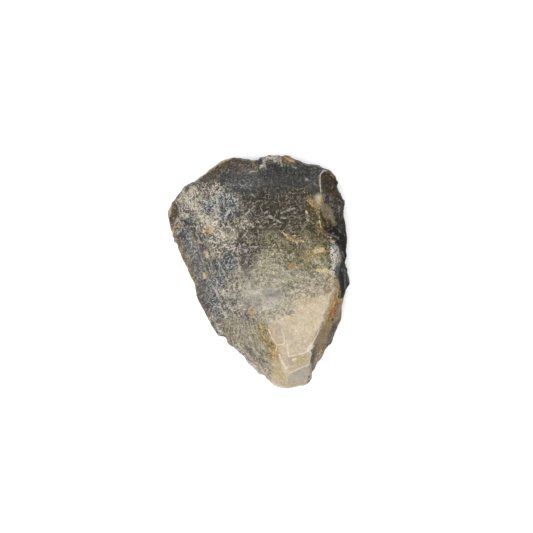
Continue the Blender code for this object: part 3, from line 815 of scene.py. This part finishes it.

# The stone of the right flank and the tip, which has less felt. The right flank's dark zones carry painted
# shade as well as the stone's own dark.
CLEAR = (
    ("corner", 0.5, (64, 56, 42), (124, 113, 90), 0.32, 0.80, 0.05, 0.34),
    ("umber", 0.7, (44, 34, 22), (120, 103, 80), 0.16, 0.70, 0.05, 0.30),
    ("slab", 0.8, (44, 39, 33), (120, 110, 98), 0.24, 0.85, 0.05, 0.30),
    ("iron", 0.6, (32, 31, 30), (112, 111, 107), 0.14, 0.90, 0.05, 0.80),
    ("low flank", 0.6, (122, 103, 82), (180, 160, 133), 0.42, 0.60, 0.05, 0.60),
    ("edge", 1.0, (78, 67, 58), (146, 132, 118), 0.34, 0.90, 0.05, 0.60),
    ("patch", 0.5, (102, 89, 72), (156, 141, 116), 0.42, 0.70, 0.05, 0.40),
    ("pit", 0.4, (13, 10, 9), (74, 62, 54), 0.06, 0.50, 0.05, 0.16),
    ("rust", 0.5, (118, 90, 48), (230, 212, 172), 0.42, 1.70, 0.05, 0.42),
    ("dusk", 0.4, (48, 38, 28), (108, 92, 72), 0.26, 0.70, 0.05, 0.60),
    ("amber", 0.6, (122, 78, 38), (204, 150, 90), 0.42, 1.10, 0.05, 0.40),
    ("plate", 0.5, (114, 95, 76), (168, 148, 124), 0.46, 0.70, 0.05, 0.40),
    ("moss", 0.6, (112, 92, 56), (178, 158, 112), 0.42, 0.80, 0.05, 0.40),
    ("ledge", 0.4, (90, 72, 62), (170, 154, 138), 0.40, 0.90, 0.05, 0.45),
    ("crush", 0.5, (72, 62, 58), (222, 214, 210), 0.46, 2.40, 0.10, 0.55),
    ("wedge", 1.0, (140, 124, 88), (204, 194, 158), 0.66, 0.50, 0.05, 0.45),
    ("tan", 0.9, (172, 153, 122), (228, 212, 186), 0.54, 0.52, 0.05, 0.48),
    ("tear", 0.4, (162, 145, 122), (210, 194, 170), 0.50, 0.60, 0.05, 0.48),
    ("step", 0.2, (160, 147, 120), (216, 202, 176), 0.50, 0.48, 0.05, 0.48),
    ("facet", 0.3, (152, 142, 125), (198, 188, 171), 0.50, 0.42, 0.05, 0.48),
)

# The right side's plain stone, darkened with painted shade, which its zones lie over, and the left edge's: as
# for the kinds of stone.
RIGHT_STONE_AND_SHADE = ((40, 34, 26), (112, 101, 84), 0.22, 0.8, 0.05, 0.3)
LEFT_EDGE_STONE = ((66, 58, 46), (128, 117, 98), 0.34, 0.8, 0.1)

# Marks that change the felt, most of them in the stone and the dark ones partly painted shadow: how soft and
# how ragged their borders are, how strongly they show, and then as for the kinds of stone, as far as they
# change it.
STAINS = (
    ("plum", 1.6, 2.4, 0.75, (56, 45, 43), (140, 128, 126), 0.26, 0.80),
    ("milk", 1.6, 2.6, 0.8, (118, 108, 92), (228, 218, 198), 0.52, 1.20, 0.6),
    ("blue", 1.6, 2.0, 0.85, (50, 55, 60), (168, 173, 174), 0.17, 1.10, 0.90),
    ("frost", 1.0, 2.0, 0.7, (96, 100, 102), (208, 210, 206), 0.38, 1.20, 0.9),
    ("mist", 2.2, 2.4, 0.6, (68, 69, 68), (144, 145, 141), 0.26, 0.60, 0.3),
    ("pearl", 2.4, 2.4, 0.7, (120, 109, 84), (214, 203, 174), 0.46, 1.10, 0.3),
    ("peat", 1.4, 2.0, 0.8, (52, 38, 12), (152, 127, 66), 0.20, 0.80, 0.3),
    ("loam", 1.8, 2.4, 0.75, (38, 32, 22), (124, 114, 90), 0.10, 0.70, 0.35),
    ("heather", 1.4, 2.0, 0.7, (102, 91, 82), (174, 161, 148), 0.44, 0.60),
    ("blush", 1.6, 1.6, 0.6, (164, 147, 130), (212, 196, 178), 0.50, 0.70),
    ("sand", 1.0, 1.4, 0.75, (154, 135, 98), (202, 184, 143), 0.48, 0.80),
    ("honey", 1.4, 2.2, 0.75, (104, 86, 44), (192, 168, 104), 0.42, 1.00),
    ("ochre", 0.8, 2.2, 0.55, (146, 110, 64), (210, 174, 122), 0.45, 1.00),
    # Partly painted shadow.
    ("dark", 0.5, 1.8, 0.7, (40, 34, 26), (110, 102, 86), 0.15, 0.80),
)

# Thin marks: how soft and how ragged they are, how strongly they show, and their colour.
MARKS = (
    ("fissure", 0.15, 0.5, 0.45, (196, 188, 170)),
    # Black marks: partly the stone's own black, partly painted shade.
    ("black", 0.25, 0.8, 0.85, (18, 14, 13)),
    ("bar", 0.35, 0.7, 0.85, (222, 203, 162)),
    # White marks: partly pale lines in the stone, partly painted glints.
    ("white", 0.18, 0.9, 0.6, (216, 211, 200)),
    # Painted glints, standing in for highlights.
    ("painted glints", 0.2, 0.8, 0.55, (150, 147, 144)),
    ("gold", 0.3, 1.6, 0.7, (206, 162, 92)),
    ("yellow", 0.15, 0.6, 0.75, (230, 214, 158)),
    ("crumbs", 0.25, 3.4, 0.75, (236, 226, 206)),
    ("border", 0.16, 0.3, 0.95, (240, 228, 206)),
)

# The layers of fibres: a shift that gives each its own pattern, the size of its cells, and its strokes'
# width, length and curl. Sizes are in millimetres.
FIBRES = (
    (0.0, 1.6, 0.19, 1.6, 2.0),
    (7.3, 2.1, 0.19, 2.2, 1.6),
    (12.4, 1.4, 0.18, 1.2, 1.6),
    (17.5, 2.6, 0.2, 2.7, 1.6),
    (22.6, 1.7, 0.18, 1.6, 1.6),
)

# The share of the cells that have a fibre.
FIBRES_KEPT = 0.8


class FlintShade(Shade):
    """The nodes of the flint's stone."""

    def __init__(self, settings):
        super().__init__("flint")
        self.settings = settings
        coords = self.node("TexCoord", output="Object")
        self.place = self.node("VectorMath", {"operation": "SCALE"}, {0: coords, "Scale": 1 / MM})
        self.cloud = self.grain(self.place, 7.0, 3, 0.6)
        self.patch = self.grain(self.place, 2.2, 4, 0.65, 0.4)
        self.fine = self.grain(self.place, 0.85, 2, 0.6, 0.6)
        self.dust = self.grain(self.place, 0.45, 1)
        self.wobble = (self.patch - 0.5) * 4.0 + (self.cloud - 0.5) * 4.0 + (self.fine - 0.5) * 3.0
        sway = self.grain(self.place, 1 / 0.7, output="Color")
        self.loose = self.vector("MULTIPLY_ADD", sway, (1.4, 1.4, 1.4), self.place)
        self.lay_ground()
        self.lay_stone()
        self.finish()

    def cover(self, zone, ground, pale, *amounts):
        """Lays a kind of stone over what is there, and changes as many of its amounts as are given."""
        self.ground = self.mix(self.ground, rgb(*ground), zone)
        self.pale = self.mix(self.pale, rgb(*pale), zone)
        for number, amount in enumerate(amounts):
            below = self.amounts[number]
            self.amounts[number] = below + (amount - below) * zone

    def stroke(self, name, soft, ragged):
        reach = self.attribute(name + " strokes") + (self.fine - 0.5) * ragged + (self.dust - 0.5) * ragged
        return reach.ramp(-soft, soft)

    def lay_ground(self):
        """The left flank's stone, which the rest lies over. Its grain runs along the stone."""
        turn = {"Vector": self.place, "Rotation": (0, 0, math.radians(67))}
        along = self.node("VectorRotate", {"rotation_type": "EULER_XYZ"}, turn)
        lines = self.grain(self.vector("DIVIDE", along, (5.0, 0.55, 2.0)), 1.0, 3)
        north = self.also(self.node("SeparateXYZ", {}, [self.place]), "Y")
        self.ground = self.mix(rgb(62, 63, 61), rgb(80, 71, 64), self.cloud.ramp(0.45, 0.6))
        self.pale = self.mix(rgb(162, 160, 152), rgb(180, 169, 148), self.patch.ramp(0.45, 0.6))
        self.amounts = [(lines - 0.5) * 1.6 + 0.36 - north * 0.006, 0.80, 0.42, 0.42]

    def lay_stone(self):
        """The kinds of stone and the marks, each over the ones before it. The right side's stone and some
        marks carry painted shade.
        """
        for name, soft, *look in KINDS:
            self.cover((self.attribute(name) + self.wobble).ramp(-soft, soft), *look)
        # Painted shade on the right side, over its own dark stone.
        self.cover(self.attribute("right side"), *RIGHT_STONE_AND_SHADE)
        self.cover(self.attribute("left edge") * 0.7, *LEFT_EDGE_STONE)
        for name, soft, *look in CLEAR:
            zone = self.attribute(name) + self.wobble * 0.2 + (self.fine - 0.5) * soft
            self.cover(zone.ramp(-soft, soft), *look)
        for name, soft, ragged, strength, *look in STAINS:
            self.cover(self.stroke(name, soft, ragged) * strength, *look)

    def rings(self):
        """Fine ripples in rings across the foot."""
        away = self.vector("SUBTRACT", self.place, (11.4, -17.4, 0))
        split = self.node("SeparateXYZ", {}, [away])
        turn = self.also(split, "Y").math("ARCTAN2", split)
        far = self.vector("LENGTH", self.vector("MULTIPLY", away, (1, 1, 0)), output="Value")
        far = far + (self.patch - 0.5) * 1.5 + (self.cloud - 0.5) * 3.0
        rings = self.grain(self.node("CombineXYZ", {}, [far / 0.6, turn * 3.5]), 1.0)
        return (rings - 0.5) * (self.attribute("foot") + self.wobble).ramp(-1.6, 1.6)

    def fibres(self, shift, cell, width, length, curl):
        """Short curved strokes, at most one to a cell, each with its own turn, curl and brightness."""
        flat = self.vector("MULTIPLY_ADD", self.loose, (1 / cell, 1 / cell, 0), (shift, shift * 0.6, 0))
        cells = {"Vector": flat, "Scale": 1.0}
        centre = self.node("TexVoronoi", {"voronoi_dimensions": "2D"}, cells, "Position")
        lots = self.node("SeparateColor", {}, [self.also(centre, "Color")])
        turn = {"Vector": self.vector("SUBTRACT", flat, centre), "Angle": lots * math.tau}
        along = self.node("SeparateXYZ", {}, [self.node("VectorRotate", {"rotation_type": "Z_AXIS"}, turn)])
        across = self.also(along, "Y") + (self.also(lots, "Blue") - 0.5) * curl * along * along
        line = abs(across).ramp(width / cell, width / cell * 0.3)
        ends = abs(along).ramp(length / cell / 2, length / cell * 0.3)
        return line * ends * self.also(lots, "Green").ramp(1 - FIBRES_KEPT, 1.0)

    def felt(self, rings):
        """The stone's ground with its pale felt, its fibres, its dots and its slight tints."""
        share, grit, fibre, _ = self.amounts
        noise = (self.dust - 0.5) * 1.1 + (self.fine - 0.5) * 1.5 + (self.patch - 0.5) * 0.9
        texture = (share + rings * 1.3 + (self.cloud - 0.5) * 0.4 + noise * grit).clamped()
        colour = self.mix(self.ground, self.pale, (texture * (texture * 1.2 + 0.35)).clamped())
        felt = self.fibres(*FIBRES[0])
        for layer in FIBRES[1:]:
            felt = felt.most(self.fibres(*layer))
        colour = self.mix(colour, self.mix(self.pale, self.settings.felt, 0.55), felt * fibre)

        dots = self.node("TexVoronoi", {}, {"Vector": self.loose, "Scale": 1.2})
        chance = self.node("SeparateColor", {}, [self.also(dots, "Color")])
        dots = dots.ramp(0.34, 0.16)
        light = dots * chance.ramp(0.6, 0.95) * grit * 0.7
        colour = self.mix(colour, self.mix(self.pale, self.settings.felt, 0.5), light.clamped())
        deep = dots * self.also(chance, "Green").ramp(0.65, 0.95) * grit * 0.3
        colour = self.mix(colour, self.ground, deep.clamped())

        tints = self.grain(self.place, 0.7, 2, 0.6, output="Color")
        tints = self.vector("MULTIPLY_ADD", tints, (1.3, 1.3, 1.3), (-0.15, -0.15, -0.15))
        return self.mix(colour, tints, 0.12 + grit * 0.12, "OVERLAY")

    def marked(self, colour):
        """A colour with the thin marks over it."""
        for name, soft, ragged, strength, tone in MARKS:
            dull = rgb(*(0.8 * level for level in tone))
            tone = self.mix(rgb(*tone), dull, self.fine.ramp(0.4, 0.7))
            colour = self.mix(colour, tone, self.stroke(name, soft, ragged) * strength)
        return colour

    def crushed_and_highlit(self, colour):
        """A colour with pale along sharp ridges, partly bruised flint and partly a painted highlight, which
        shows less on the right side's stone.
        """
        ridge = (self.attribute("ridge") + (self.fine - 0.5) * 0.6).ramp(0.25, 0.9)
        bare = self.attribute("right side")
        for name in ("low flank", "edge", "pit", "iron"):
            bare = bare.most(self.attribute(name).ramp(-0.6, 0.2))
        return self.mix(colour, self.settings.crushed_and_highlit, ridge * (0.3 - bare * 0.27))

    def finish(self):
        """Lays the rind over the stone and fills the surface's sockets."""
        rings = self.rings()
        colour = self.crushed_and_highlit(self.marked(self.felt(rings)))
        rind = (self.attribute("rind") + (self.patch - 0.5) * 0.9).ramp(0.45, 0.6)
        blotches = self.patch.ramp(0.45, 0.7) * 0.7
        chalk = self.mix(self.settings.rind, self.settings.rind_stain, blotches)
        *_, rough = self.amounts
        rough = rough + (self.fine - 0.5) * 0.3 + rind * 0.35
        height = self.fine * 0.5 + self.dust * 0.2 + rings * 0.4 + rind * self.patch * 1.5
        bump = self.node("Bump", {}, {"Strength": 0.7, "Distance": 0.18 * MM, "Height": height})
        sockets = {
            "Base Color": self.mix(colour, chalk, rind),
            "Roughness": rough,
            "Normal": bump,
            "Specular IOR Level": 0.08,
        }
        self.fill(self.surface, sockets)


# ---------------------------------------------------------------- floor, lights and camera

# The size of the floor, in metres.
FLOOR_SIZE = 3.0

# The width of the camera's sensor, in its own millimetres.
SENSOR = 36

# The place that the camera looks straight down on, at the height of the thin edge, in millimetres.
VIEWED = (2.8, 1.6, 7.5)


class FLINT_OT_stage(bpy.types.Operator):
    """Set the floor, the lights and the camera"""

    bl_idname = "flint.stage"
    bl_label = "Floor, Lights and Camera"

    def execute(self, context):
        settings = context.scene.flint_stage
        self.floor(settings)
        self.lights(context, settings)
        self.camera(context, settings)
        return {"FINISHED"}

    def floor(self, settings):
        bpy.ops.object.select_all(action="DESELECT")
        bpy.ops.mesh.primitive_plane_add(size=FLOOR_SIZE, location=(0, 0, 0))
        floor = bpy.context.active_object
        floor.name = "floor"
        shade = Shade("floor")
        shade.fill(shade.surface, {"Base Color": settings.floor, "Roughness": 0.9, "Specular IOR Level": 0.1})
        floor.data.materials.append(shade.material)

    def lights(self, context, settings):
        world = bpy.data.worlds.new("soft room")
        world.use_nodes = True
        background = world.node_tree.nodes["Background"]
        background.inputs["Color"].default_value = (1, 1, 1, 1)
        background.inputs["Strength"].default_value = settings.fill
        context.scene.world = world
        for name, place, size, power in (
            ("key", (-0.22, -0.2, 0.5), 0.35, settings.key),
            ("overhead", (-0.03, -0.03, 0.9), 1.1, settings.overhead),
        ):
            bpy.ops.object.light_add(type="AREA", location=place)
            light = bpy.context.active_object
            light.name = name
            light.data.shape = "SQUARE"
            light.data.size = size
            light.data.energy = power
            light.rotation_euler = (-light.location).to_track_quat("-Z", "Y").to_euler()

    def camera(self, context, settings):
        data = bpy.data.cameras.new("camera")
        camera = bpy.data.objects.new("camera", data)
        context.scene.collection.objects.link(camera)
        data.lens = settings.lens
        data.sensor_width = SENSOR
        data.clip_start = 0.01
        away = settings.width * settings.lens / SENSOR
        camera.location = Vector(VIEWED) * MM + Vector((0, 0, away))
        context.scene.camera = camera
        context.scene.view_settings.view_transform = "Standard"


class FLINT_PT_panel(bpy.types.Panel):
    """The flint's settings and steps"""

    bl_idname = "FLINT_PT_panel"
    bl_label = "Struck Flint"
    bl_space_type = "VIEW_3D"
    bl_region_type = "UI"
    bl_category = "Flint"

    def draw(self, context):
        for title, settings, operator in (
            ("Stone", context.scene.flint_stone, FLINT_OT_stone),
            ("Stage", context.scene.flint_stage, FLINT_OT_stage),
        ):
            box = self.layout.box()
            box.label(text=title)
            for name in settings.bl_rna.properties.keys():
                if name not in {"rna_type", "name"}:
                    box.prop(settings, name)
            box.operator(operator.bl_idname)


CLASSES = (FlintStoneSettings, FlintStageSettings, FLINT_OT_stone, FLINT_OT_stage, FLINT_PT_panel)


def register():
    for made in CLASSES:
        bpy.utils.register_class(made)
    bpy.types.Scene.flint_stone = bpy.props.PointerProperty(type=FlintStoneSettings)
    bpy.types.Scene.flint_stage = bpy.props.PointerProperty(type=FlintStageSettings)


def unregister():
    del bpy.types.Scene.flint_stage
    del bpy.types.Scene.flint_stone
    for made in reversed(CLASSES):
        bpy.utils.unregister_class(made)


def main():
    register()
    bpy.ops.flint.stone()
    bpy.ops.flint.stage()


if __name__ == "__main__":
    main()
